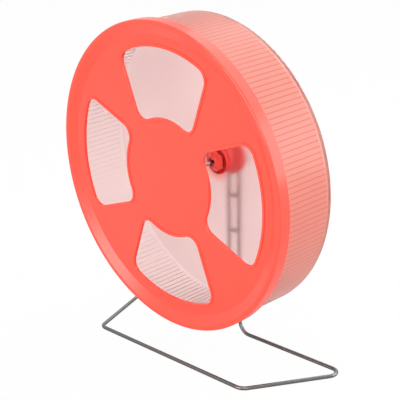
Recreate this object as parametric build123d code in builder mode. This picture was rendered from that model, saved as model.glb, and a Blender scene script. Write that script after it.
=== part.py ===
from build123d import *
import math
import os

os.makedirs("parts", exist_ok=True)

# Rodent exercise wheel on a bent wire stand, in millimetres. The origin is on the floor, midway between
# the two uprights. +X is to the right of the open front, +Y is to the back and +Z is up. The axle falls
# towards the front, so the wheel's pieces are placed by depth: the distance along the axle, backwards
# from the front edge of the rim.

# Stand of steel wire
wire_diameter = 3.5
rung_diameter = 3.0
rung_pitch = 34.1
rung_count = 5
upright_height = 204.6
upright_spacing = 13.3
front_bar_half_length = 96.2
back_bar_half_length = 138.7
stand_depth = 87.1
floor_bend_radius = 10.0
foot_bend_radius = 12.0
top_bend_radius = 6.4

# Wheel as a whole
wheel_radius = 139.7
axle_droop = 5.0
axle_reach = 88.0

# Front cover
cover_wall = 2.2
skirt_depth = 11.3
crest_width = 4.2
crest_fillet = 1.4
slope_width = 9.0
face_recess = 4.7
window_inner_radius = 54.0
window_margin = 10.5
window_half_width = 48.6
window_side_angle = 21.0
window_corner_radius = 11.0
window_count = 4
window_turn = -3.5
lip_width = 2.6
lip_height = 0.8
lip_fillet = 0.5
boss_radius = 7.0
boss_length = 11.3
boss_floor = 1.4

# Running drum
drum_gap = 1.5
drum_wall = 2.0
drum_depth = 65.7
drum_front_gap = 0.3
panel_thickness = 2.0
drum_edge_fillet = 1.8
drum_corner_fillet = 3.0
bead_length = 3.0
bead_gap = 0.1
rib_count = 180
rib_width = 1.0
rib_height = 0.8
rib_root = 0.5
rib_front_margin = 2.2
rib_back_margin = 5.7

# Hub of the wheel
nose_length = 5.7
nose_mouth_radius = 5.4
nose_bore_radius = 3.7
nose_hex_width = 19.0
nose_hex_length = 1.4
spigot_radius = 6.4
spigot_length = 2.8
hub_flange_radius = 13.0
hub_flange_thickness = 2.5
hub_neck_radius = 8.0
hub_neck_length = 3.6

# Axle, bearings and the pieces that keep the wheel on the axle
axle_diameter = 4.0
axle_end_gap = 0.3
axle_tail = 6.0
axle_chamfer = 0.5
bearing_radius = 4.5
bearing_clearance = 0.05
rear_bearing_length = 10.8
front_bearing_length = 9.0
clip_radius = 3.4
clip_thickness = 0.6
clip_groove_depth = 0.4
clip_gap = 0.3
thrust_washer_radius = 8.0
washer_radius = 5.0
washer_thickness = 0.8

# Holder in front of the uprights and clamp behind them
holder_radius = 17.5
holder_thickness = 3.2
holder_fillet = 0.8
barrel_radius = 10.0
key_width = 9.4
key_rise = 3.4
key_length = 3.2
key_floor = 1.4
nut_width = 7.0
nut_thickness = 3.2
nut_pocket_depth = 3.4
clamp_radius = 10.0
clamp_thickness = 1.6
clamp_boss_radius = 6.0
clamp_boss_length = 6.2

# Wing nut
wing_nut_radius = 4.5
wing_nut_top_radius = 3.8
wing_nut_length = 5.0
wing_span = 23.0
wing_thickness = 1.8
wing_rise = 8.6
wing_foot = 1.0
wing_tip_width = 4.4
wing_turn = -50.0

# Clearances
seat_clearance = 0.05
fit_clearance = 0.02
hole_clearance = 0.1
running_gap = 0.3

# Sizes that follow from the ones above
wire_radius = wire_diameter / 2
rung_radius = rung_diameter / 2
axle_radius = axle_diameter / 2
upright_offset = upright_spacing / 2
droop = math.radians(axle_droop)
side_slope = math.tan(math.radians(window_side_angle))
top_rung_height = rung_pitch * rung_count
key_bottom = top_rung_height + rung_radius + seat_clearance
axle_height = key_bottom + key_floor + axle_radius
axle_hole_radius = axle_radius + hole_clearance

rightward = Vector(1, 0, 0)
upward = Vector(0, -math.sin(droop), math.cos(droop))
backward = Vector(0, math.cos(droop), math.sin(droop))
rim_centre = Vector(0, 0, axle_height) - backward * axle_reach
wheel_axis = Axis(rim_centre, backward)

crest_inner_radius = wheel_radius - crest_width
face_radius = crest_inner_radius - slope_width
slope_angle = math.atan2(face_recess, slope_width)
wall_shift = cover_wall * math.tan(slope_angle / 2)
skirt_inner_radius = wheel_radius - cover_wall
face_back = face_recess + cover_wall
lip_front = face_recess - lip_height
window_outer_radius = face_radius - window_margin
boss_back = face_back + boss_length

drum_radius = skirt_inner_radius - drum_gap
drum_inner_radius = drum_radius - drum_wall
drum_front = cover_wall + drum_front_gap
drum_front += max(0, crest_inner_radius + wall_shift - drum_inner_radius) * math.tan(slope_angle)
panel_front = drum_depth - panel_thickness
rib_front = skirt_depth + rib_front_margin
rib_back = drum_depth - rib_back_margin
bead_radius = skirt_inner_radius - bead_gap

nose_front = panel_front - nose_length
nose_hex_front = panel_front - nose_hex_length
nose_corner_radius = nose_hex_width / math.sqrt(3)
spigot_front = panel_front - spigot_length
hub_flange_back = drum_depth + hub_flange_thickness
hub_back = hub_flange_back + hub_neck_length
spigot_hole_radius = spigot_radius + fit_clearance
bearing_hole_radius = bearing_radius + fit_clearance
bearing_bore_radius = axle_radius + bearing_clearance

rear_bearing_front = hub_back - rear_bearing_length
front_bearing_back = boss_back - clip_gap
front_bearing_front = front_bearing_back - front_bearing_length
clip_back = rear_bearing_front - clip_gap
clip_front = clip_back - clip_thickness
groove_radius = axle_radius - clip_groove_depth
axle_front = face_back + boss_floor + axle_end_gap

thrust_front = hub_back + running_gap
barrel_front = thrust_front + washer_thickness + running_gap
nut_back = barrel_front + nut_pocket_depth
nut_front = nut_back - nut_thickness
nut_pocket_width = nut_width + 2 * seat_clearance
holder_back = wire_radius + seat_clearance
barrel_back = axle_reach - (holder_back + holder_thickness / 2) / math.cos(droop)
clamp_front = wire_radius + seat_clearance
clamp_boss_front = axle_reach + (clamp_front + clamp_thickness / 2) / math.cos(droop)
clamp_boss_back = axle_reach + clamp_boss_length
wing_nut_front = clamp_boss_back + washer_thickness
wing_nut_back = wing_nut_front + wing_nut_length
axle_back = wing_nut_back + axle_tail


def square_plane(depth):
    """The plane square to the axle at a depth, as seen from the front: local X is to the right."""
    return Plane(origin=rim_centre + backward * depth, x_dir=rightward, z_dir=-backward)


# The half-plane of the round profiles. Local X is the radius and local Y is the depth.
profile_plane = Plane(origin=rim_centre, x_dir=rightward, z_dir=upward)


def sleeve(inner, outer, front, back):
    """A round sleeve about the axle, as a loose part."""
    with BuildPart() as tube:
        with BuildSketch(square_plane(front)):
            Circle(outer)
            if inner > 0:
                Circle(inner, mode=Mode.SUBTRACT)
        extrude(amount=-(back - front))
    return tube.part


def edges_at(edges, depth):
    """The edges whose middles lie at a depth."""
    return edges.filter_by(lambda edge: abs((edge.center() - rim_centre).dot(backward) - depth) < fit_clearance)


# One window of the front cover: a sector of a ring with straight sides and round corners
window_middle = (window_inner_radius + window_outer_radius) / 2
side_bottom = window_half_width - window_middle * side_slope
side_top = window_half_width + (wheel_radius - window_middle) * side_slope
with BuildSketch() as window:
    Circle(window_outer_radius)
    Circle(window_inner_radius, mode=Mode.SUBTRACT)
    Polygon(
        (0, -side_bottom),
        (wheel_radius, -side_top),
        (wheel_radius, side_top),
        (0, side_bottom),
        align=None,
        mode=Mode.INTERSECT,
    )
    fillet(window.vertices(), window_corner_radius)

# The same window with its lip
with BuildSketch() as lip:
    add(window.sketch)
    offset(amount=lip_width)

# Front cover: a dished face with four windows, a round crest and a skirt over the front of the drum
with BuildPart() as front_cover:
    with BuildSketch(profile_plane):
        Polygon(
            (skirt_inner_radius, skirt_depth),
            (wheel_radius, skirt_depth),
            (wheel_radius, 0),
            (crest_inner_radius, 0),
            (face_radius, face_recess),
            (0, face_recess),
            (0, face_back),
            (face_radius + wall_shift, face_back),
            (crest_inner_radius + wall_shift, cover_wall),
            (skirt_inner_radius, cover_wall),
            align=None,
        )
    revolve(axis=wheel_axis)
    fillet(edges_at(front_cover.edges(), 0), crest_fillet)
    with BuildSketch(square_plane(face_back)):
        with PolarLocations(0, window_count, start_angle=window_turn):
            add(lip.sketch)
    extrude(amount=face_back - lip_front)
    with BuildSketch(square_plane(face_back)):
        with PolarLocations(0, window_count, start_angle=window_turn):
            add(window.sketch)
    extrude(amount=face_back - lip_front, mode=Mode.SUBTRACT)
    fillet(edges_at(front_cover.edges(), lip_front), lip_fillet)
    add(sleeve(0, boss_radius, face_back, boss_back))
    add(sleeve(0, bearing_hole_radius, face_back + boss_floor, boss_back), mode=Mode.SUBTRACT)
front_cover.part.label = "front_cover"
export_step(front_cover.part, "parts/front_cover.step")

# Running drum: its wall with a bead inside the skirt of the cover, its back panel and the foot ribs
with BuildPart() as running_drum:
    with BuildSketch(profile_plane):
        Polygon(
            (drum_inner_radius, drum_front),
            (bead_radius, drum_front),
            (bead_radius, drum_front + bead_length),
            (drum_radius, drum_front + bead_length),
            (drum_radius, drum_depth),
            (spigot_hole_radius, drum_depth),
            (spigot_hole_radius, panel_front),
            (drum_inner_radius, panel_front),
            align=None,
        )
    revolve(axis=wheel_axis)
    fillet(edges_at(running_drum.edges(), drum_depth).sort_by(SortBy.LENGTH)[-1], drum_edge_fillet)
    fillet(edges_at(running_drum.edges(), panel_front).sort_by(SortBy.LENGTH)[-1], drum_corner_fillet)
    with BuildSketch(square_plane(rib_front)):
        with PolarLocations(drum_inner_radius + (rib_root - rib_height) / 2, rib_count):
            Rectangle(rib_height + rib_root, rib_width)
    extrude(amount=-(rib_back - rib_front))
running_drum.part.label = "running_drum"
export_step(running_drum.part, "parts/running_drum.step")

# Hub flange behind the panel. Its spigot passes through the panel into the nose.
with BuildPart() as hub_flange:
    with BuildSketch(profile_plane):
        Polygon(
            (bearing_hole_radius, spigot_front),
            (spigot_radius, spigot_front),
            (spigot_radius, drum_depth),
            (hub_flange_radius, drum_depth),
            (hub_flange_radius, hub_flange_back),
            (hub_neck_radius, hub_flange_back),
            (hub_neck_radius, hub_back),
            (bearing_hole_radius, hub_back),
            align=None,
        )
    revolve(axis=wheel_axis)
hub_flange.part.label = "hub_flange"
export_step(hub_flange.part, "parts/hub_flange.step")

# Hub nose: a six-sided cap that tapers to an open mouth inside the drum
with BuildPart() as hub_nose:
    with BuildSketch(profile_plane):
        Polygon(
            (nose_bore_radius, nose_front),
            (nose_mouth_radius, nose_front),
            (nose_corner_radius, nose_hex_front),
            (nose_corner_radius, panel_front),
            (spigot_hole_radius, panel_front),
            (spigot_hole_radius, spigot_front),
            (nose_bore_radius, spigot_front),
            align=None,
        )
    revolve(axis=wheel_axis)
    with BuildSketch(square_plane(nose_front)):
        RegularPolygon(nose_hex_width / 2, side_count=6, major_radius=False)
    extrude(amount=-nose_length, mode=Mode.INTERSECT)
hub_nose.part.label = "hub_nose"
export_step(hub_nose.part, "parts/hub_nose.step")

# Plain bearings, one in the hub and one in the boss of the front cover
with BuildPart() as rear_bearing:
    add(sleeve(bearing_bore_radius, bearing_radius, rear_bearing_front, hub_back))
rear_bearing.part.label = "rear_bearing"
export_step(rear_bearing.part, "parts/rear_bearing.step")

with BuildPart() as front_bearing:
    add(sleeve(bearing_bore_radius, bearing_radius, front_bearing_front, front_bearing_back))
front_bearing.part.label = "front_bearing"
export_step(front_bearing.part, "parts/front_bearing.step")

# Axle: a steel rod with a groove for the clip
with BuildPart() as axle_rod:
    add(sleeve(0, axle_radius, axle_front, axle_back))
    chamfer(axle_rod.edges().filter_by(GeomType.CIRCLE), axle_chamfer)
    add(sleeve(groove_radius, axle_diameter, clip_front, clip_back), mode=Mode.SUBTRACT)
axle_rod.part.label = "axle_rod"
export_step(axle_rod.part, "parts/axle_rod.step")

# Clip in the groove, in front of the rear bearing
with BuildPart() as axle_clip:
    add(sleeve(groove_radius + fit_clearance, clip_radius, clip_front + fit_clearance, clip_back - fit_clearance))
axle_clip.part.label = "axle_clip"
export_step(axle_clip.part, "parts/axle_clip.step")

# Thrust washer between the turning hub and the fixed holder
with BuildPart() as thrust_washer:
    add(sleeve(axle_hole_radius, thrust_washer_radius, thrust_front, thrust_front + washer_thickness))
thrust_washer.part.label = "thrust_washer"
export_step(thrust_washer.part, "parts/thrust_washer.step")

# Nut that locks the axle in the pocket of the holder
with BuildPart() as holder_nut:
    with BuildSketch(square_plane(nut_front)):
        RegularPolygon(nut_width / 2, side_count=6, major_radius=False)
        Circle(axle_radius + fit_clearance, mode=Mode.SUBTRACT)
    extrude(amount=-nut_thickness)
holder_nut.part.label = "holder_nut"
export_step(holder_nut.part, "parts/holder_nut.step")

# Holder: a round plate against the uprights, a barrel along the axle and a key that stands on the top rung
with BuildPart() as axle_holder:
    with BuildSketch(Plane.XZ.offset(holder_back)):
        with Locations((0, axle_height)):
            Circle(holder_radius)
    extrude(amount=holder_thickness)
    fillet(axle_holder.edges().sort_by(Axis.Y)[0], holder_fillet)
    add(sleeve(0, barrel_radius, barrel_front, barrel_back))
    with BuildSketch(Plane.XZ.offset(holder_back)):
        with Locations((0, (key_bottom + axle_height + key_rise) / 2)):
            Rectangle(key_width, axle_height + key_rise - key_bottom)
    extrude(amount=-key_length)
    with BuildSketch(square_plane(barrel_front)):
        RegularPolygon(nut_pocket_width / 2, side_count=6, major_radius=False)
    extrude(amount=-nut_pocket_depth, mode=Mode.SUBTRACT)
    add(sleeve(0, axle_hole_radius, barrel_front, axle_back), mode=Mode.SUBTRACT)
axle_holder.part.label = "axle_holder"
export_step(axle_holder.part, "parts/axle_holder.step")

# Clamp collar: a disc behind the uprights with a boss that ends square to the axle
with BuildPart() as clamp_collar:
    with BuildSketch(Plane.XZ.offset(-clamp_front)):
        with Locations((0, axle_height)):
            Circle(clamp_radius)
    extrude(amount=-clamp_thickness)
    add(sleeve(0, clamp_boss_radius, clamp_boss_front, clamp_boss_back))
    add(sleeve(0, axle_hole_radius, 0, axle_back), mode=Mode.SUBTRACT)
clamp_collar.part.label = "clamp_collar"
export_step(clamp_collar.part, "parts/clamp_collar.step")

with BuildPart() as nut_washer:
    add(sleeve(axle_hole_radius, washer_radius, clamp_boss_back, wing_nut_front))
nut_washer.part.label = "nut_washer"
export_step(nut_washer.part, "parts/nut_washer.step")

# Wing nut: a tapered hub with two wings that lean outwards
wing_angle = math.radians(wing_turn)
wing_side = rightward * math.cos(wing_angle) + upward * math.sin(wing_angle)
wing_origin = rim_centre + backward * wing_nut_front
wing_plane = Plane(origin=wing_origin, x_dir=wing_side, z_dir=wing_side.cross(backward))
with BuildPart() as wing_nut:
    with BuildSketch(profile_plane):
        Polygon(
            (0, wing_nut_front),
            (wing_nut_radius, wing_nut_front),
            (wing_nut_top_radius, wing_nut_back),
            (0, wing_nut_back),
            align=None,
        )
    revolve(axis=wheel_axis)
    with BuildSketch(wing_plane):
        Polygon(
            (0, wing_foot),
            (wing_nut_radius, wing_foot),
            (wing_span / 2, wing_rise - wing_tip_width),
            (wing_span / 2, wing_rise),
            (wing_span / 2 - wing_tip_width, wing_rise),
            (wing_nut_top_radius, wing_nut_length),
            (0, wing_nut_length),
            align=None,
        )
        mirror(about=Plane.YZ)
    extrude(amount=wing_thickness / 2, both=True)
    add(sleeve(0, axle_radius + bearing_clearance, wing_nut_front, axle_back), mode=Mode.SUBTRACT)
wing_nut.part.label = "wing_nut"
export_step(wing_nut.part, "parts/wing_nut.step")

# Stand wire: half of it is swept and mirrored. The line runs from the middle of the front bar round the
# floor to the back bar, then up one upright to the middle of the bend that joins the two.
with BuildPart() as stand_wire:
    with BuildLine():
        FilletPolyline(
            (0, -stand_depth, wire_radius),
            (front_bar_half_length, -stand_depth, wire_radius),
            (back_bar_half_length, 0, wire_radius),
            (upright_offset, 0, wire_radius),
            (upright_offset, 0, upright_height),
            (0, 0, upright_height),
            radius=[floor_bend_radius, floor_bend_radius, foot_bend_radius, top_bend_radius],
        )
    with BuildSketch(Plane(origin=(0, -stand_depth, wire_radius), z_dir=(1, 0, 0))):
        Circle(wire_radius)
    sweep()
    mirror(about=Plane.YZ)
stand_wire.part.label = "stand_wire"
export_step(stand_wire.part, "parts/stand_wire.step")

# Rungs between the uprights, with ends that fit round the wire
for number in range(1, rung_count + 1):
    with BuildPart() as rung:
        with BuildSketch(Plane.YZ.offset(-upright_offset)):
            with Locations((0, number * rung_pitch)):
                Circle(rung_radius)
        extrude(amount=upright_spacing)
        with BuildSketch(Plane.XY.offset(number * rung_pitch - rung_diameter)):
            with Locations((-upright_offset, 0), (upright_offset, 0)):
                Circle(wire_radius)
        extrude(amount=2 * rung_diameter, mode=Mode.SUBTRACT)
    rung.part.label = f"rung_{number}"
    export_step(rung.part, f"parts/rung_{number}.step")
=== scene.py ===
"""Rodent exercise wheel: finishes, small hardware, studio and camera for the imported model."""

import logging
import math
from dataclasses import dataclass, field
from enum import Enum

import bpy
from mathutils import Matrix, Vector


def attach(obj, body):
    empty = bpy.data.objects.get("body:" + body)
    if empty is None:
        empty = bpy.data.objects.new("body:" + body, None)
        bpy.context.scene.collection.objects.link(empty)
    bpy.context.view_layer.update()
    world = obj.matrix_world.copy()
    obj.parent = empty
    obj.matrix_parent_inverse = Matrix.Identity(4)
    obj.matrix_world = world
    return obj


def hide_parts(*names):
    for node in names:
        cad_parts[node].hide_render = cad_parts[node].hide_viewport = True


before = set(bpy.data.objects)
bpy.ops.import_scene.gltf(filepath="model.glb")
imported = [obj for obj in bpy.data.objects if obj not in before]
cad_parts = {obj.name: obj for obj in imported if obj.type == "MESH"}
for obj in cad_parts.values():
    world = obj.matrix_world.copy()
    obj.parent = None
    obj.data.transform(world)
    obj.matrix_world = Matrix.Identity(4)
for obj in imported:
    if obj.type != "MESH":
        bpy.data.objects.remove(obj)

LOG = logging.getLogger("exercise_wheel")
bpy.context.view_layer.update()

# Sizes of pieces and patterns are in millimetres, and this turns them to metres
MM = 0.001

# The axle passes the plane of the uprights at this height, 88 mm behind the rim, and falls to the front
AXLE_HEIGHT = 175.45
RIM_TO_UPRIGHTS = 88.0
DROOP = math.radians(5.0)
BACKWARD = Vector((0.0, math.cos(DROOP), math.sin(DROOP)))
RIGHTWARD = Vector((1.0, 0.0, 0.0))
UPWARD = Vector((0.0, -math.sin(DROOP), math.cos(DROOP)))

# Points that lie closer together than this are one point, and faces thinner than the next are slivers
MERGE_WITHIN = 0.002
SLIVER = 0.01

# A ring of a turned piece: its depth along the axis and its radius
Ring = tuple[float, float]


def linear_colour(hex_code: str) -> tuple[float, float, float, float]:
    """Turn an sRGB hex value into a linear colour with an alpha of one.

    Args:
        hex_code: six hex digits, such as "FF675B".

    Returns:
        Red, green, blue and alpha as linear values.
    """
    channels = []
    for start in (0, 2, 4):
        value = int(hex_code[start : start + 2], 16) / 255.0
        # The two branches of the sRGB curve
        channels.append(value / 12.92 if value <= 0.04045 else ((value + 0.055) / 1.055) ** 2.4)
    return (channels[0], channels[1], channels[2], 1.0)


def add_node(
    tree: bpy.types.NodeTree, kind: str, settings: dict | None = None, links: dict | None = None
) -> bpy.types.Node:
    """Add a node with its settings and its incoming links.

    Args:
        tree: the node tree that gets the node.
        kind: the Blender type name of the node.
        settings: properties by name, and input values by input name or index.
        links: the output socket that feeds each input, by input name or index.

    Returns:
        The new node.
    """
    node = tree.nodes.new(kind)
    for key, value in (settings or {}).items():
        if isinstance(key, str) and hasattr(node, key):
            setattr(node, key, value)
        else:
            node.inputs[key].default_value = value
    for key, socket in (links or {}).items():
        tree.links.new(socket, node.inputs[key])
    return node


def new_material(name: str) -> tuple[bpy.types.Material, bpy.types.NodeTree, bpy.types.Node]:
    """Start a node material.

    Args:
        name: the material's name.

    Returns:
        The material, its node tree and its surface shader.
    """
    material = bpy.data.materials.new(name)
    material.use_nodes = True
    tree = material.node_tree
    return material, tree, tree.nodes["Principled BSDF"]


@dataclass(frozen=True)
class Finish:
    """A surface: its colours, its gloss and the fine unevenness from how it was made."""

    name: str
    colour: str
    shade: str
    roughness: float
    roughness_swing: float = 0.03
    metallic: float = 0.0
    ior: float | None = None
    grain: tuple[float, float, float] = (6.0, 6.0, 6.0)
    relief: float = 0.0

    def build(self) -> bpy.types.Material:
        """Build the node material.

        Returns:
            The material.
        """
        material, tree, shader = new_material(self.name)
        place = add_node(tree, "ShaderNodeTexCoord")
        scale = tuple(1.0 / (size * MM) for size in self.grain)
        spread = add_node(tree, "ShaderNodeMapping", {"Scale": scale}, {"Vector": place.outputs["Object"]})
        grain = add_node(
            tree,
            "ShaderNodeTexNoise",
            {"Scale": 1.0, "Detail": 3.0, "Roughness": 0.55},
            {"Vector": spread.outputs["Vector"]},
        )
        tint = add_node(
            tree,
            "ShaderNodeMix",
            {"data_type": "RGBA", 6: linear_colour(self.shade), 7: linear_colour(self.colour)},
            {0: grain.outputs["Fac"]},
        )
        smoothest = self.roughness - self.roughness_swing
        roughest = self.roughness + self.roughness_swing
        gloss = add_node(
            tree,
            "ShaderNodeMapRange",
            {"To Min": smoothest, "To Max": roughest},
            {"Value": grain.outputs["Fac"]},
        )
        tree.links.new(tint.outputs[2], shader.inputs["Base Color"])
        tree.links.new(gloss.outputs["Result"], shader.inputs["Roughness"])
        shader.inputs["Metallic"].default_value = self.metallic
        if self.ior is not None:
            shader.inputs["IOR"].default_value = self.ior
        if self.relief:
            relief = add_node(
                tree,
                "ShaderNodeBump",
                {"Strength": 1.0, "Distance": self.relief * MM},
                {"Height": grain.outputs["Fac"]},
            )
            tree.links.new(relief.outputs["Normal"], shader.inputs["Normal"])
        return material


@dataclass(frozen=True)
class FrostedDrum:
    """Frosted plastic of the drum: salmon outside with a line under each rib, and paler inside."""

    name: str = "frosted_polypropylene"
    wall_colour: str = "FF907A"
    line_colour: str = "E65F4A"
    inside_colour: str = "FBDFDC"
    panel_colour: str = "FCDEDB"
    cloud_colour: str = "F6D5D3"
    # Colour of the painted red glow of hub light on the panel round the axle
    painted_hub_glow_colour: str = "FF8C82"
    wall_roughness: float = 0.34
    panel_roughness: float = 0.28
    transmission: float = 0.91
    ior: float = 1.36
    # Radii: the panel's edge blends into the wall, and the wall has an inner and an outer skin
    panel_edge: float = 131.5
    wall_edge: float = 133.4
    inner_skin: float = 134.7
    outer_skin: float = 135.3
    # A painted glow of red light from the hub, as if scattered in the panel, covers these radii, full and
    # fading
    painted_hub_glow_full: float = 10.0
    painted_hub_glow_end: float = 23.0
    ribs: int = 180
    # A line covers the part of each rib's cosine wave above this value
    line_from: float = 0.5
    # The lines stop this far before the plane of the uprights, along the axle
    lines_end: float = -27.0
    lines_fade: float = 1.5
    cloud_size: float = 45.0
    frost_size: float = 1.6
    frost_depth: float = 0.012

    def _wheel_place(self, tree: bpy.types.NodeTree, place: bpy.types.NodeSocket) -> bpy.types.NodeSocket:
        """Turn Object coordinates so that the axle lies along Y through the origin.

        Args:
            tree: the node tree that gets the node.
            place: the Object coordinates.

        Returns:
            The turned coordinates.
        """
        height = AXLE_HEIGHT * MM
        shift = (0.0, -height * math.sin(DROOP), -height * math.cos(DROOP))
        turned = add_node(
            tree, "ShaderNodeMapping", {"Rotation": (-DROOP, 0.0, 0.0), "Location": shift}, {"Vector": place}
        )
        return turned.outputs["Vector"]

    def _reach(self, tree: bpy.types.NodeTree, wheel: bpy.types.NodeSocket) -> bpy.types.NodeSocket:
        """Measure the distance from the axle.

        Args:
            tree: the node tree that gets the nodes.
            wheel: coordinates with the axle along Y.

        Returns:
            The distance in metres.
        """
        flat = add_node(
            tree, "ShaderNodeVectorMath", {"operation": "MULTIPLY", 1: (1.0, 0.0, 1.0)}, {0: wheel}
        )
        reach = add_node(tree, "ShaderNodeVectorMath", {"operation": "LENGTH"}, {0: flat.outputs[0]})
        return reach.outputs["Value"]

    def _rib_lines(self, tree: bpy.types.NodeTree, wheel: bpy.types.NodeSocket) -> bpy.types.NodeSocket:
        """Draw a line along each rib, up to where the ribs end.

        Args:
            tree: the node tree that gets the nodes.
            wheel: coordinates with the axle along Y.

        Returns:
            The strength of the lines, from zero to one.
        """
        parts = add_node(tree, "ShaderNodeSeparateXYZ", {}, {0: wheel})
        turn = add_node(
            tree, "ShaderNodeMath", {"operation": "ARCTAN2"}, {0: parts.outputs["Z"], 1: parts.outputs["X"]}
        )
        steps = add_node(
            tree, "ShaderNodeMath", {"operation": "MULTIPLY", 1: float(self.ribs)}, {0: turn.outputs[0]}
        )
        wave = add_node(tree, "ShaderNodeMath", {"operation": "COSINE"}, {0: steps.outputs[0]})
        line = add_node(tree, "ShaderNodeMapRange", {"From Min": self.line_from}, {"Value": wave.outputs[0]})
        before_end = add_node(
            tree,
            "ShaderNodeMapRange",
            {"From Min": self.lines_end * MM, "From Max": (self.lines_end - self.lines_fade) * MM},
            {"Value": parts.outputs["Y"]},
        )
        kept = add_node(
            tree,
            "ShaderNodeMath",
            {"operation": "MULTIPLY"},
            {0: line.outputs["Result"], 1: before_end.outputs["Result"]},
        )
        return kept.outputs[0]

    def _wall(
        self, tree: bpy.types.NodeTree, wheel: bpy.types.NodeSocket, reach: bpy.types.NodeSocket
    ) -> bpy.types.NodeSocket:
        """Colour the wall: salmon with the rib lines where light enters its outer skin, and pale elsewhere.

        Args:
            tree: the node tree that gets the nodes.
            wheel: coordinates with the axle along Y.
            reach: the distance from the axle.

        Returns:
            The colour of the wall.
        """
        outside = add_node(
            tree,
            "ShaderNodeMix",
            {"data_type": "RGBA", 6: linear_colour(self.wall_colour), 7: linear_colour(self.line_colour)},
            {0: self._rib_lines(tree, wheel)},
        )
        on_outside = add_node(
            tree,
            "ShaderNodeMapRange",
            {"From Min": self.inner_skin * MM, "From Max": self.outer_skin * MM},
            {"Value": reach},
        )
        behind = add_node(tree, "ShaderNodeNewGeometry").outputs["Backfacing"]
        from_air = add_node(tree, "ShaderNodeMath", {"operation": "SUBTRACT", 0: 1.0}, {1: behind})
        tinted = add_node(
            tree,
            "ShaderNodeMath",
            {"operation": "MULTIPLY"},
            {0: on_outside.outputs["Result"], 1: from_air.outputs[0]},
        )
        wall = add_node(
            tree,
            "ShaderNodeMix",
            {"data_type": "RGBA", 6: linear_colour(self.inside_colour)},
            {0: tinted.outputs[0], 7: outside.outputs[2]},
        )
        return wall.outputs[2]

    def _panel(
        self, tree: bpy.types.NodeTree, place: bpy.types.NodeSocket, reach: bpy.types.NodeSocket
    ) -> bpy.types.NodeSocket:
        """Colour the panel: faint clouds, and a painted glow of red light from the hub round the axle.

        Args:
            tree: the node tree that gets the nodes.
            place: the Object coordinates.
            reach: the distance from the axle.

        Returns:
            The colour of the panel.
        """
        clouds = add_node(
            tree,
            "ShaderNodeTexNoise",
            {"Scale": 1.0 / (self.cloud_size * MM), "Detail": 3.0, "Roughness": 0.5},
            {"Vector": place},
        )
        clouded = add_node(
            tree,
            "ShaderNodeMix",
            {"data_type": "RGBA", 6: linear_colour(self.panel_colour), 7: linear_colour(self.cloud_colour)},
            {0: clouds.outputs["Fac"]},
        )
        # Painted light: red light from the hub is painted into the panel's colour, full near the axle and
        # fading outward
        hub_glow_share = add_node(
            tree,
            "ShaderNodeMapRange",
            {
                "interpolation_type": "SMOOTHSTEP",
                "From Min": self.painted_hub_glow_end * MM,
                "From Max": self.painted_hub_glow_full * MM,
            },
            {"Value": reach},
        )
        hub_glow_painted = add_node(
            tree,
            "ShaderNodeMix",
            {"data_type": "RGBA", 7: linear_colour(self.painted_hub_glow_colour)},
            {0: hub_glow_share.outputs["Result"], 6: clouded.outputs[2]},
        )
        return hub_glow_painted.outputs[2]

    def build(self) -> bpy.types.Material:
        """Build the node material.

        Returns:
            The material.
        """
        material, tree, shader = new_material(self.name)
        place = add_node(tree, "ShaderNodeTexCoord").outputs["Object"]
        wheel = self._wheel_place(tree, place)
        reach = self._reach(tree, wheel)
        on_panel = add_node(
            tree,
            "ShaderNodeMapRange",
            {"From Min": self.wall_edge * MM, "From Max": self.panel_edge * MM},
            {"Value": reach},
        ).outputs["Result"]
        both = add_node(
            tree,
            "ShaderNodeMix",
            {"data_type": "RGBA"},
            {0: on_panel, 6: self._wall(tree, wheel, reach), 7: self._panel(tree, place, reach)},
        )
        gloss = add_node(
            tree,
            "ShaderNodeMapRange",
            {"To Min": self.wall_roughness, "To Max": self.panel_roughness},
            {"Value": on_panel},
        )
        frost = add_node(
            tree,
            "ShaderNodeTexNoise",
            {"Scale": 1.0 / (self.frost_size * MM), "Detail": 2.0},
            {"Vector": place},
        )
        relief = add_node(
            tree,
            "ShaderNodeBump",
            {"Strength": 1.0, "Distance": self.frost_depth * MM},
            {"Height": frost.outputs["Fac"]},
        )
        tree.links.new(both.outputs[2], shader.inputs["Base Color"])
        tree.links.new(gloss.outputs["Result"], shader.inputs["Roughness"])
        tree.links.new(relief.outputs["Normal"], shader.inputs["Normal"])
        shader.inputs["Transmission Weight"].default_value = self.transmission
        shader.inputs["IOR"].default_value = self.ior
        return material


class Surface(Enum):
    """The finishes of the wheel, by what the piece is made of."""

    # Moulded ABS from a polished tool: even, saturated coral with a sharp gloss
    COVER = Finish(
        "moulded_coral_ABS", "F24835", "EE4331", 0.26, 0.02, ior=1.5, grain=(40, 40, 40), relief=0.02
    )
    # Moulded polypropylene, frosted: light comes through it softly, tinted a little pink
    DRUM = FrostedDrum()
    # Moulded ABS, deeper red, with the slight waviness of thick small mouldings
    HUB = Finish("moulded_red_ABS", "FC2014", "F41C12", 0.3, ior=1.53, grain=(5, 5, 5), relief=0.03)
    # The same plastic painted brighter: painted light for the cap that shows in front, which gets little
    # light inside the drum
    NOSE = Finish("moulded_red_ABS_painted_light", "FF6A5E", "FD6054", 0.3, ior=1.53, grain=(5, 5, 5), relief=0.03)
    # Acetal, natural: milky white and slightly waxy
    BEARING = Finish("natural_acetal", "EFEDE6", "E6E3DA", 0.35, ior=1.48, grain=(3, 3, 3))
    # Drawn steel wire under a thin zinc coat: grey, satin, mottled by the bath
    WIRE = Finish(
        "zinc_coated_steel_wire",
        "7C7C7C",
        "60605E",
        0.3,
        0.06,
        metallic=1.0,
        grain=(2.5, 2.5, 2.5),
        relief=0.02,
    )
    # Turned steel with zinc plating: brighter, with fine marks along the bar
    TURNED = Finish(
        "zinc_plated_steel", "B4B4B2", "8E8E8C", 0.3, 0.05, metallic=1.0, grain=(1.2, 12, 1.2), relief=0.01
    )
    # Cast and plated steel of the wing nut: duller, with a fine orange peel
    CAST = Finish(
        "plated_cast_steel", "A6A6A4", "848482", 0.4, 0.06, metallic=1.0, grain=(0.9, 0.9, 0.9), relief=0.03
    )


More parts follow.
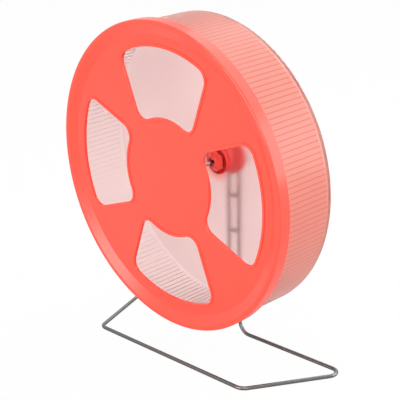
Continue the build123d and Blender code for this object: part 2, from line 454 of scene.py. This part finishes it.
class Paintbox:
    """Builds each finish once and dresses pieces with it."""

    def __init__(self) -> None:
        """Start with no material built."""
        self._built: dict[Surface, bpy.types.Material] = {}

    def material(self, surface: Surface) -> bpy.types.Material:
        """Give the material of a surface.

        Args:
            surface: the finish that is wanted.

        Returns:
            The material, built on first use.
        """
        if surface not in self._built:
            self._built[surface] = surface.value.build()
        return self._built[surface]

    def dress(self, piece: bpy.types.Object, surface: Surface) -> None:
        """Give a piece one finish in all its material slots.

        Args:
            piece: the object to dress.
            surface: the finish.
        """
        material = self.material(surface)
        if not piece.material_slots:
            piece.data.materials.append(material)
        for slot in piece.material_slots:
            slot.material = material
        LOG.info("dressed %s in %s", piece.name, material.name)


@dataclass(frozen=True)
class Axis:
    """A straight line that pieces are turned round, with places on it given by depth in millimetres."""

    origin: Vector
    along: Vector

    def at(self, depth: float) -> Vector:
        """Give the point at a depth along the line."""
        return self.origin + self.along * (depth * MM)

    def turn(self) -> tuple[float, float, float]:
        """Give the Euler angles that bring local Z onto the line."""
        return tuple(self.along.to_track_quat("Z", "Y").to_euler())


# Depth zero on the axle is the plane of the rim
AXLE = Axis(Vector((0.0, 0.0, AXLE_HEIGHT * MM)) - BACKWARD * (RIM_TO_UPRIGHTS * MM), BACKWARD)


class Bench:
    """Makes pieces from primitives that are shaped in edit mode."""

    @staticmethod
    def pick(*pieces: bpy.types.Object) -> None:
        """Select these pieces alone and make the first one active, or select nothing.

        Args:
            pieces: the objects to select.
        """
        bpy.ops.object.select_all(action="DESELECT")
        for piece in pieces:
            piece.select_set(True)
        if pieces:
            bpy.context.view_layer.objects.active = pieces[0]

    @staticmethod
    def settle(piece: bpy.types.Object) -> None:
        """Bring a piece's object to the origin, with its place in its mesh.

        Args:
            piece: the object to settle.
        """
        Bench.pick(piece)
        bpy.ops.object.transform_apply(location=True, rotation=True, scale=True)

    @staticmethod
    def open_mesh() -> None:
        """Go into edit mode on the active piece, with all of it selected."""
        bpy.ops.object.mode_set(mode="EDIT")
        bpy.ops.mesh.select_all(action="SELECT")

    @staticmethod
    def close_mesh() -> None:
        """Merge doubled points, turn all faces outward and leave edit mode."""
        bpy.ops.mesh.select_all(action="SELECT")
        bpy.ops.mesh.remove_doubles(threshold=MERGE_WITHIN * MM)
        bpy.ops.mesh.normals_make_consistent(inside=False)
        bpy.ops.object.mode_set(mode="OBJECT")

    @staticmethod
    def turned(name: str, axis: Axis, profile: tuple[Ring, ...], sides: int) -> bpy.types.Object:
        """Turn a solid round an axis: a disc is extruded and resized from one ring to the next.

        Args:
            name: the piece's name.
            axis: the line that it is turned round.
            profile: its rings, from front to back.
            sides: vertices of each ring.

        Returns:
            The closed piece, with normals outward.
        """
        Bench.pick()
        depth, radius = profile[0]
        bpy.ops.mesh.primitive_circle_add(
            vertices=sides,
            radius=radius * MM,
            fill_type="NGON",
            location=axis.at(depth),
            rotation=axis.turn(),
        )
        piece = bpy.context.object
        piece.name = name
        Bench.settle(piece)
        Bench.open_mesh()
        for next_depth, next_radius in profile[1:]:
            step = axis.along * ((next_depth - depth) * MM)
            bpy.ops.mesh.extrude_region_move(TRANSFORM_OT_translate={"value": step})
            share = next_radius / radius
            bpy.ops.transform.resize(value=(share, share, share), center_override=axis.at(next_depth))
            depth, radius = next_depth, next_radius
        Bench.close_mesh()
        return piece

    @staticmethod
    def copied(piece: bpy.types.Object, move: Matrix) -> bpy.types.Object:
        """Copy a piece with its own mesh to another place.

        Args:
            piece: the object to copy, which sits at the origin.
            move: how the copy is moved and turned.

        Returns:
            The copy, at the origin with its place in its mesh.
        """
        copy = piece.copy()
        copy.data = piece.data.copy()
        bpy.context.collection.objects.link(copy)
        copy.matrix_world = move
        Bench.settle(copy)
        return copy

    @staticmethod
    def combine(piece: bpy.types.Object, other: bpy.types.Object, how: str) -> None:
        """Join, cut or keep the common part of two solids, and drop the second.

        Args:
            piece: the solid that stays.
            other: the solid that is used up.
            how: UNION, DIFFERENCE or INTERSECT.
        """
        Bench.pick(piece)
        cutter = piece.modifiers.new("combine", "BOOLEAN")
        cutter.operation = how
        cutter.object = other
        cutter.solver = "EXACT"
        bpy.ops.object.modifier_apply(modifier=cutter.name)
        bpy.data.objects.remove(other, do_unlink=True)

    @staticmethod
    def smooth(piece: bpy.types.Object, angle: float) -> None:
        """Shade a piece smooth, apart from its sharp edges.

        Args:
            piece: the object.
            angle: the least angle in degrees of a sharp edge.
        """
        Bench.pick(piece)
        bpy.ops.object.shade_smooth_by_angle(angle=math.radians(angle))

    @staticmethod
    def soften(piece: bpy.types.Object, width: float, segments: int, angle: float) -> None:
        """Round the edges of a piece and shade it smooth between them.

        Args:
            piece: the object.
            width: the width of the rounding in millimetres.
            segments: faces across the rounding.
            angle: the least angle in degrees of an edge that is rounded.
        """
        Bench.pick(piece)
        rounding = piece.modifiers.new("rounding", "BEVEL")
        rounding.width = width * MM
        rounding.segments = segments
        rounding.limit_method = "ANGLE"
        rounding.angle_limit = math.radians(angle)
        bpy.ops.object.modifier_apply(modifier=rounding.name)
        Bench.open_mesh()
        bpy.ops.mesh.dissolve_degenerate(threshold=SLIVER * MM)
        Bench.close_mesh()
        Bench.smooth(piece, angle)

    @staticmethod
    def join(piece: bpy.types.Object, others: list[bpy.types.Object]) -> None:
        """Put the meshes of other objects into a piece.

        Args:
            piece: the object that stays.
            others: the objects that go into it.
        """
        Bench.pick(piece, *others)
        bpy.ops.object.join()

    @staticmethod
    def place(piece: bpy.types.Object, body: str, slot: str, *nodes: str) -> None:
        """Attach a piece to the body that it moves with, and hide the CAD nodes that it stands for.

        Args:
            piece: the object.
            body: the CAD body that it moves with.
            slot: not used.
            nodes: the CAD nodes that it replaces.
        """
        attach(piece, body)
        if nodes:
            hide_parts(*nodes)
        LOG.info("made %s on %s", piece.name, body)


@dataclass
class HubCap:
    """The red cap inside the drum: a six-sided foot, a flare and a round mouth."""

    paint: Paintbox
    flare: tuple[Ring, ...] = (
        (58.0, 5.05),
        (58.12, 5.28),
        (58.4, 5.4),
        (59.3, 5.5),
        (59.7, 5.8),
        (60.2, 6.6),
        (60.9, 7.7),
        (62.9, 10.1),
        (63.7, 10.75),
    )
    # The foot's width is measured across its flats, and its prism runs past both ends of the cap
    foot_width: float = 18.4
    foot_ends: tuple[float, float] = (57.0, 64.6)
    # The seat takes the spigot of the hub flange, and the mouth narrows to the bore round the axle
    seat: tuple[Ring, ...] = ((60.9, 6.42), (65.0, 6.42))
    mouth: tuple[Ring, ...] = ((57.5, 4.55), (58.6, 4.55), (59.2, 3.75), (62.0, 3.75))
    sides: int = 96
    edge_round: float = 0.22
    round_segments: int = 2
    round_angle: float = 25.0

    def build(self) -> None:
        """Build and dress the cap."""
        corner = self.foot_width / math.sqrt(3)
        cap = Bench.turned("hub_cap", AXLE, self.flare, self.sides)
        foot = Bench.turned("hub_cap_foot", AXLE, tuple((end, corner) for end in self.foot_ends), 6)
        Bench.combine(cap, foot, "INTERSECT")
        Bench.combine(cap, Bench.turned("hub_cap_seat", AXLE, self.seat, self.sides), "DIFFERENCE")
        Bench.combine(cap, Bench.turned("hub_cap_mouth", AXLE, self.mouth, self.sides), "DIFFERENCE")
        Bench.soften(cap, self.edge_round, self.round_segments, self.round_angle)
        # The cap wears the hub's red painted brighter, as painted light
        self.paint.dress(cap, Surface.NOSE)
        Bench.place(cap, "wheel", "hub_plastic", "hub_nose")


@dataclass
class Axle:
    """The steel axle: round nose, clip groove, smooth shank and a cut thread at the back."""

    paint: Paintbox
    front: float = 8.6
    back: float = 106.0
    radius: float = 2.0
    # Rings of the round nose, with depth from the front end
    nose: tuple[Ring, ...] = ((0.0, 1.35), (0.12, 1.62), (0.34, 1.86), (0.7, 2.0))
    groove_front: float = 60.08
    groove_back: float = 60.72
    groove_radius: float = 1.6
    # The core under the thread starts with a short taper and ends in a chamfer
    thread_from: float = 92.6
    taper: float = 0.5
    core_radius: float = 1.66
    chamfer: float = 0.4
    end_radius: float = 1.3
    pitch: float = 0.7
    # The last turn ends this far before the end of the rod
    thread_stop: float = 0.9
    steps: int = 24
    sides: int = 48
    sharp_angle: float = 32.0

    def _thread(self) -> bpy.types.Object:
        """Wind one tooth round the axle: a triangle that points outward follows the helix.

        Returns:
            The coil of the thread.
        """
        turns = int((self.back - self.thread_stop - self.thread_from) / self.pitch)
        tooth = self.pitch / 2
        Bench.pick()
        # The first corner of the triangle comes to lie outward, on local X
        bpy.ops.mesh.primitive_circle_add(
            vertices=3, radius=tooth * MM, rotation=(math.radians(90.0), math.radians(90.0), 0.0)
        )
        coil = bpy.context.object
        coil.name = "axle_thread"
        Bench.settle(coil)
        Bench.open_mesh()
        bpy.ops.transform.translate(value=((self.radius - tooth) * MM, 0.0, 0.0))
        bpy.ops.object.mode_set(mode="OBJECT")
        winding = coil.modifiers.new("winding", "SCREW")
        winding.axis = "Z"
        winding.screw_offset = self.pitch * MM
        winding.iterations = turns
        winding.steps = winding.render_steps = self.steps
        winding.use_normal_calculate = True
        bpy.ops.object.modifier_apply(modifier=winding.name)
        Bench.open_mesh()
        bpy.ops.mesh.fill_holes(sides=4)
        Bench.close_mesh()
        coil.location = AXLE.at(self.thread_from)
        coil.rotation_euler = AXLE.turn()
        Bench.settle(coil)
        LOG.info("wound %d turns of thread", turns)
        return coil

    def build(self) -> None:
        """Build and dress the axle."""
        profile = (
            *((self.front + depth, radius) for depth, radius in self.nose),
            (self.groove_front, self.radius),
            (self.groove_front, self.groove_radius),
            (self.groove_back, self.groove_radius),
            (self.groove_back, self.radius),
            (self.thread_from - self.taper, self.radius),
            (self.thread_from, self.core_radius),
            (self.back - self.chamfer, self.core_radius),
            (self.back, self.end_radius),
        )
        rod = Bench.turned("steel_axle", AXLE, profile, self.sides)
        Bench.smooth(rod, self.sharp_angle)
        Bench.join(rod, [self._thread()])
        self.paint.dress(rod, Surface.TURNED)
        Bench.place(rod, "stand", "axle_steel", "axle_rod")


@dataclass
class WingNut:
    """The wing nut behind the uprights: a tapered hub and two rounded wings."""

    paint: Paintbox
    front: float = 95.0
    # Rings of the hub, with depth from its front face
    hub: tuple[Ring, ...] = ((0.0, 4.2), (0.3, 4.5), (1.6, 4.35), (4.6, 3.9), (5.0, 3.4))
    hub_sides: int = 64
    bore: tuple[Ring, ...] = ((-1.0, 2.05), (7.0, 2.05))
    bore_sides: int = 48
    # Sections of a wing: distance from the axle, depth of the middle from the front face, and height
    wing: tuple[tuple[float, float, float], ...] = (
        (2.9, 3.0, 4.0),
        (4.4, 3.2, 4.1),
        (7.4, 4.9, 4.5),
        (11.3, 6.3, 4.6),
    )
    thickness: float = 1.8
    tip_round: float = 1.9
    tip_segments: int = 8
    # The tip's edges are those that lie within this distance of its end
    tip_within: float = 0.2
    turn_deg: float = -50.0
    edge_round: float = 0.35
    round_segments: int = 3
    round_angle: float = 30.0

    def _turned(self, name: str, profile: tuple[Ring, ...], sides: int) -> bpy.types.Object:
        """Turn a solid from rings whose depth is measured from the front face.

        Args:
            name: the piece's name.
            profile: its rings.
            sides: vertices of each ring.

        Returns:
            The solid.
        """
        rings = tuple((self.front + depth, radius) for depth, radius in profile)
        return Bench.turned(name, AXLE, rings, sides)

    def _wing(self) -> bpy.types.Object:
        """Draw one wing out of the hub.

        Returns:
            The wing, with a square end.
        """
        turn = math.radians(self.turn_deg)
        outward = RIGHTWARD * math.cos(turn) + UPWARD * math.sin(turn)
        across = outward.cross(BACKWARD)
        axes = Matrix((across, BACKWARD, outward)).transposed()
        out, middle, height = self.wing[0]
        place = AXLE.at(self.front + middle) + outward * (out * MM)
        Bench.pick()
        bpy.ops.mesh.primitive_plane_add(size=1.0)
        wing = bpy.context.object
        wing.name = "wing"
        sizes = Matrix.Diagonal((self.thickness * MM, height * MM, 1.0)).to_4x4()
        wing.matrix_world = Matrix.Translation(place) @ axes.to_4x4() @ sizes
        Bench.settle(wing)
        Bench.open_mesh()
        for out, middle, next_height in self.wing[1:]:
            target = AXLE.at(self.front + middle) + outward * (out * MM)
            bpy.ops.mesh.extrude_region_move(TRANSFORM_OT_translate={"value": target - place})
            share = (1.0, next_height / height, 1.0)
            bpy.ops.transform.resize(
                value=share, orient_type="LOCAL", orient_matrix=axes, center_override=target
            )
            place, height = target, next_height
        self._round_tip(wing, outward, across)
        return wing

    def _round_tip(self, wing: bpy.types.Object, outward: Vector, across: Vector) -> None:
        """Round the two edges of a wing's end that run across it, and leave edit mode.

        Args:
            wing: the wing, in edit mode.
            outward: the direction from the axle to its end.
            across: the direction of its thickness.
        """
        end = (self.wing[-1][0] - self.tip_within) * MM
        bpy.ops.mesh.select_mode(type="EDGE")
        bpy.ops.mesh.select_all(action="DESELECT")
        bpy.ops.object.mode_set(mode="OBJECT")
        for edge in wing.data.edges:
            first, second = (wing.data.vertices[index].co for index in edge.vertices)
            middle = (first + second) / 2 - AXLE.at(self.front)
            runs_across = abs((second - first).normalized().dot(across)) > 0.9
            edge.select = middle.dot(outward) > end and runs_across
        bpy.ops.object.mode_set(mode="EDIT")
        bpy.ops.mesh.bevel(offset=self.tip_round * MM, segments=self.tip_segments, affect="EDGES")
        bpy.ops.mesh.select_mode(type="VERT")
        Bench.close_mesh()

    def build(self) -> None:
        """Build and dress the wing nut."""
        nut = self._turned("wing_nut_cast", self.hub, self.hub_sides)
        wing = self._wing()
        centre = Matrix.Translation(AXLE.at(self.front))
        twin = Bench.copied(wing, centre @ Matrix.Rotation(math.pi, 4, BACKWARD) @ centre.inverted())
        Bench.combine(nut, wing, "UNION")
        Bench.combine(nut, twin, "UNION")
        Bench.combine(nut, self._turned("wing_nut_bore", self.bore, self.bore_sides), "DIFFERENCE")
        Bench.soften(nut, self.edge_round, self.round_segments, self.round_angle)
        self.paint.dress(nut, Surface.CAST)
        Bench.place(nut, "wing_nut", "axle_steel", "wing_nut")


@dataclass
class WeldCollars:
    """The small flash of metal round both ends of each rung, where it was welded to the uprights."""

    paint: Paintbox
    rungs: int = 5
    pitch: float = 34.1
    upright_offset: float = 6.65
    wire_radius: float = 1.75
    rung_radius: float = 1.5
    # Rings of the flash: distance from the inner side of the upright, and height over the rung
    flash: tuple[Ring, ...] = ((-1.15, 0.01), (-0.8, 0.07), (-0.42, 0.2), (-0.05, 0.42), (0.5, 0.12))
    sides: int = 40
    sharp_angle: float = 50.0

    def build(self) -> None:
        """Make one collar, copy it to all rung ends and dress them as one piece."""
        inner = self.upright_offset - self.wire_radius
        line = Axis(Vector((0.0, 0.0, self.pitch * MM)), RIGHTWARD)
        rings = tuple((inner + reach, self.rung_radius + height) for reach, height in self.flash)
        collar = Bench.turned("rung_welds", line, rings, self.sides)
        Bench.smooth(collar, self.sharp_angle)
        moves = [
            Matrix.Translation((0.0, 0.0, number * self.pitch * MM)) @ Matrix.Rotation(turn, 4, "Z")
            for number in range(self.rungs)
            for turn in (0.0, math.pi)
        ]
        Bench.join(collar, [Bench.copied(collar, move) for move in moves[1:]])
        self.paint.dress(collar, Surface.WIRE)
        Bench.place(collar, "stand", "stand_steel")


@dataclass
class Wheel:
    """The turning part: cover, drum, hub and bearings."""

    paint: Paintbox
    surfaces: dict[str, Surface] = field(
        default_factory=lambda: {
            "front_cover": Surface.COVER,
            "running_drum": Surface.DRUM,
            "hub_flange": Surface.HUB,
            "rear_bearing": Surface.BEARING,
            "front_bearing": Surface.BEARING,
        }
    )

    def build(self) -> None:
        """Dress the moulded pieces of the wheel and add the hub cap."""
        for name, surface in self.surfaces.items():
            self.paint.dress(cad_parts[name], surface)
        HubCap(self.paint).build()


@dataclass
class Stand:
    """The wire stand with its rungs."""

    paint: Paintbox
    pieces: tuple[str, ...] = ("stand_wire", "rung_1", "rung_2", "rung_3", "rung_4", "rung_5")

    def build(self) -> None:
        """Dress the wire and the rungs, and add the weld flash."""
        for name in self.pieces:
            self.paint.dress(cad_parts[name], Surface.WIRE)
        WeldCollars(self.paint).build()


@dataclass
class Clamp:
    """The holder, the axle and the pieces behind the uprights."""

    paint: Paintbox
    steel: tuple[str, ...] = ("holder_nut", "axle_clip", "thrust_washer", "clamp_collar", "nut_washer")

    def build(self) -> None:
        """Dress the holder and the steel pieces, and add the axle and the wing nut."""
        self.paint.dress(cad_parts["axle_holder"], Surface.HUB)
        for name in self.steel:
            self.paint.dress(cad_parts[name], Surface.TURNED)
        Axle(self.paint).build()
        WingNut(self.paint).build()


@dataclass(frozen=True)
class SoftBox:
    """A rectangular lamp that faces the wheel: angles in degrees, sizes in metres and power in watts."""

    name: str
    azimuth: float
    elevation: float
    distance: float
    width: float
    height: float
    power: float

    def build(self, target: Vector) -> None:
        """Add the lamp.

        Args:
            target: the point that it faces.
        """
        bpy.ops.object.light_add(type="AREA")
        lamp = bpy.context.object
        lamp.name = self.name
        lamp.data.shape = "RECTANGLE"
        lamp.data.size, lamp.data.size_y = self.width, self.height
        lamp.data.energy = self.power
        turn, lift = math.radians(self.azimuth), math.radians(self.elevation)
        outward = Vector((math.sin(turn) * math.cos(lift), -math.cos(turn) * math.cos(lift), math.sin(lift)))
        lamp.location = target + outward * self.distance
        lamp.rotation_mode = "QUATERNION"
        lamp.rotation_quaternion = outward.to_track_quat("Z", "Y")
        LOG.info("lit %s", self.name)


@dataclass
class Studio:
    """White sweep, soft lamps, even surround and the camera, with sizes in metres and angles in degrees."""

    floor_size: float = 12.0
    floor_colour: str = "CCCCCC"
    floor_roughness: float = 0.9
    floor_glow: float = 0.97
    floor_mirrored: float = 0.1
    surround: float = 0.84
    aim: Vector = field(default_factory=lambda: Vector((0.0, -0.05, 0.16)))
    lamps: tuple[SoftBox, ...] = (
        SoftBox("front_softbox", -5.0, 11.0, 1.9, 1.3, 0.9, 21.0),
        SoftBox("back_softbox", 138.0, 17.0, 2.0, 1.6, 1.3, 22.0),
        SoftBox("high_back_softbox", 178.0, 45.0, 2.0, 2.2, 1.2, 15.0),
        SoftBox("top_softbox", 60.0, 75.0, 1.7, 1.2, 1.2, 7.0),
        SoftBox("near_softbox", 52.0, 24.0, 1.8, 1.1, 0.7, 9.0),
    )
    camera_place: Vector = field(default_factory=lambda: Vector((0.7073, -0.6931, 0.4200)))
    camera_azimuth: float = 47.45
    camera_elevation: float = 16.24
    camera_roll: float = -0.66
    # The lens and the film width are in millimetres
    camera_lens: float = 99.86
    camera_film: float = 36.0
    camera_near: float = 0.01
    camera_far: float = 50.0

    def _share_for_lookers(self, tree: bpy.types.NodeTree, mirrored: float) -> bpy.types.NodeSocket:
        """Make a factor of one for camera and transmission rays, and a share of it for glossy rays.

        Args:
            tree: the node tree that gets the nodes.
            mirrored: the factor for glossy rays.

        Returns:
            The socket that holds the factor.
        """
        rays = add_node(tree, "ShaderNodeLightPath")
        glossy = add_node(
            tree, "ShaderNodeMath", {"operation": "MULTIPLY", 1: mirrored}, {0: rays.outputs["Is Glossy Ray"]}
        )
        first = add_node(
            tree,
            "ShaderNodeMath",
            {"operation": "MAXIMUM"},
            {0: rays.outputs["Is Camera Ray"], 1: glossy.outputs[0]},
        )
        both = add_node(
            tree,
            "ShaderNodeMath",
            {"operation": "MAXIMUM"},
            {0: first.outputs[0], 1: rays.outputs["Is Transmission Ray"]},
        )
        return both.outputs[0]

    def _world(self) -> None:
        """Give the surround an even white."""
        world = bpy.data.worlds.new("white_surround")
        bpy.context.scene.world = world
        world.use_nodes = True
        tree = world.node_tree
        back = tree.nodes["Background"]
        back.inputs["Color"].default_value = linear_colour("FFFFFF")
        strength = add_node(
            tree,
            "ShaderNodeMapRange",
            {"To Min": self.surround, "To Max": 1.0},
            {"Value": self._share_for_lookers(tree, 1.0)},
        )
        tree.links.new(strength.outputs["Result"], back.inputs["Strength"])

    def _floor(self) -> None:
        """Lay a pale floor that glows to the camera and still takes the shadow."""
        bpy.ops.mesh.primitive_plane_add(size=self.floor_size, location=(0.0, 0.0, 0.0))
        floor = bpy.context.object
        floor.name = "studio_floor"
        material, tree, paper = new_material("white_paper_sweep")
        paper.inputs["Base Color"].default_value = linear_colour(self.floor_colour)
        paper.inputs["Roughness"].default_value = self.floor_roughness
        paper.inputs["Specular IOR Level"].default_value = 0.0
        glow = add_node(tree, "ShaderNodeEmission", {"Color": linear_colour("FFFFFF"), "Strength": 1.0})
        share = add_node(
            tree,
            "ShaderNodeMath",
            {"operation": "MULTIPLY", 1: self.floor_glow},
            {0: self._share_for_lookers(tree, self.floor_mirrored)},
        )
        mixed = add_node(
            tree, "ShaderNodeMixShader", {}, {0: share.outputs[0], 1: paper.outputs[0], 2: glow.outputs[0]}
        )
        tree.links.new(mixed.outputs[0], tree.nodes["Material Output"].inputs["Surface"])
        floor.data.materials.append(material)

    def _camera(self) -> None:
        """Place the camera at the photograph's angle."""
        turn, lift, roll = (
            math.radians(value) for value in (self.camera_azimuth, self.camera_elevation, self.camera_roll)
        )
        forward = Vector((-math.sin(turn) * math.cos(lift), math.cos(turn) * math.cos(lift), -math.sin(lift)))
        level = Vector((math.cos(turn), math.sin(turn), 0.0))
        upright = level.cross(forward)
        right = level * math.cos(roll) + upright * math.sin(roll)
        up = upright * math.cos(roll) - level * math.sin(roll)
        bpy.ops.object.camera_add()
        camera = bpy.context.object
        camera.name = "studio_camera"
        camera.data.lens = self.camera_lens
        camera.data.sensor_width = self.camera_film
        camera.data.clip_start, camera.data.clip_end = self.camera_near, self.camera_far
        turned = Matrix((right, up, -forward)).transposed().to_4x4()
        camera.matrix_world = Matrix.Translation(self.camera_place) @ turned
        bpy.context.scene.camera = camera

    def build(self) -> None:
        """Build the studio."""
        bpy.context.scene.view_settings.view_transform = "Standard"
        self._world()
        self._floor()
        for lamp in self.lamps:
            lamp.build(self.aim)
        self._camera()
        LOG.info("studio ready")


def main() -> None:
    """Build and dress the wheel in order."""
    logging.basicConfig(level=logging.INFO, format="%(name)s: %(message)s")
    paint = Paintbox()
    for part in (Wheel(paint), Stand(paint), Clamp(paint), Studio()):
        part.build()


if __name__ == "__main__":
    main()
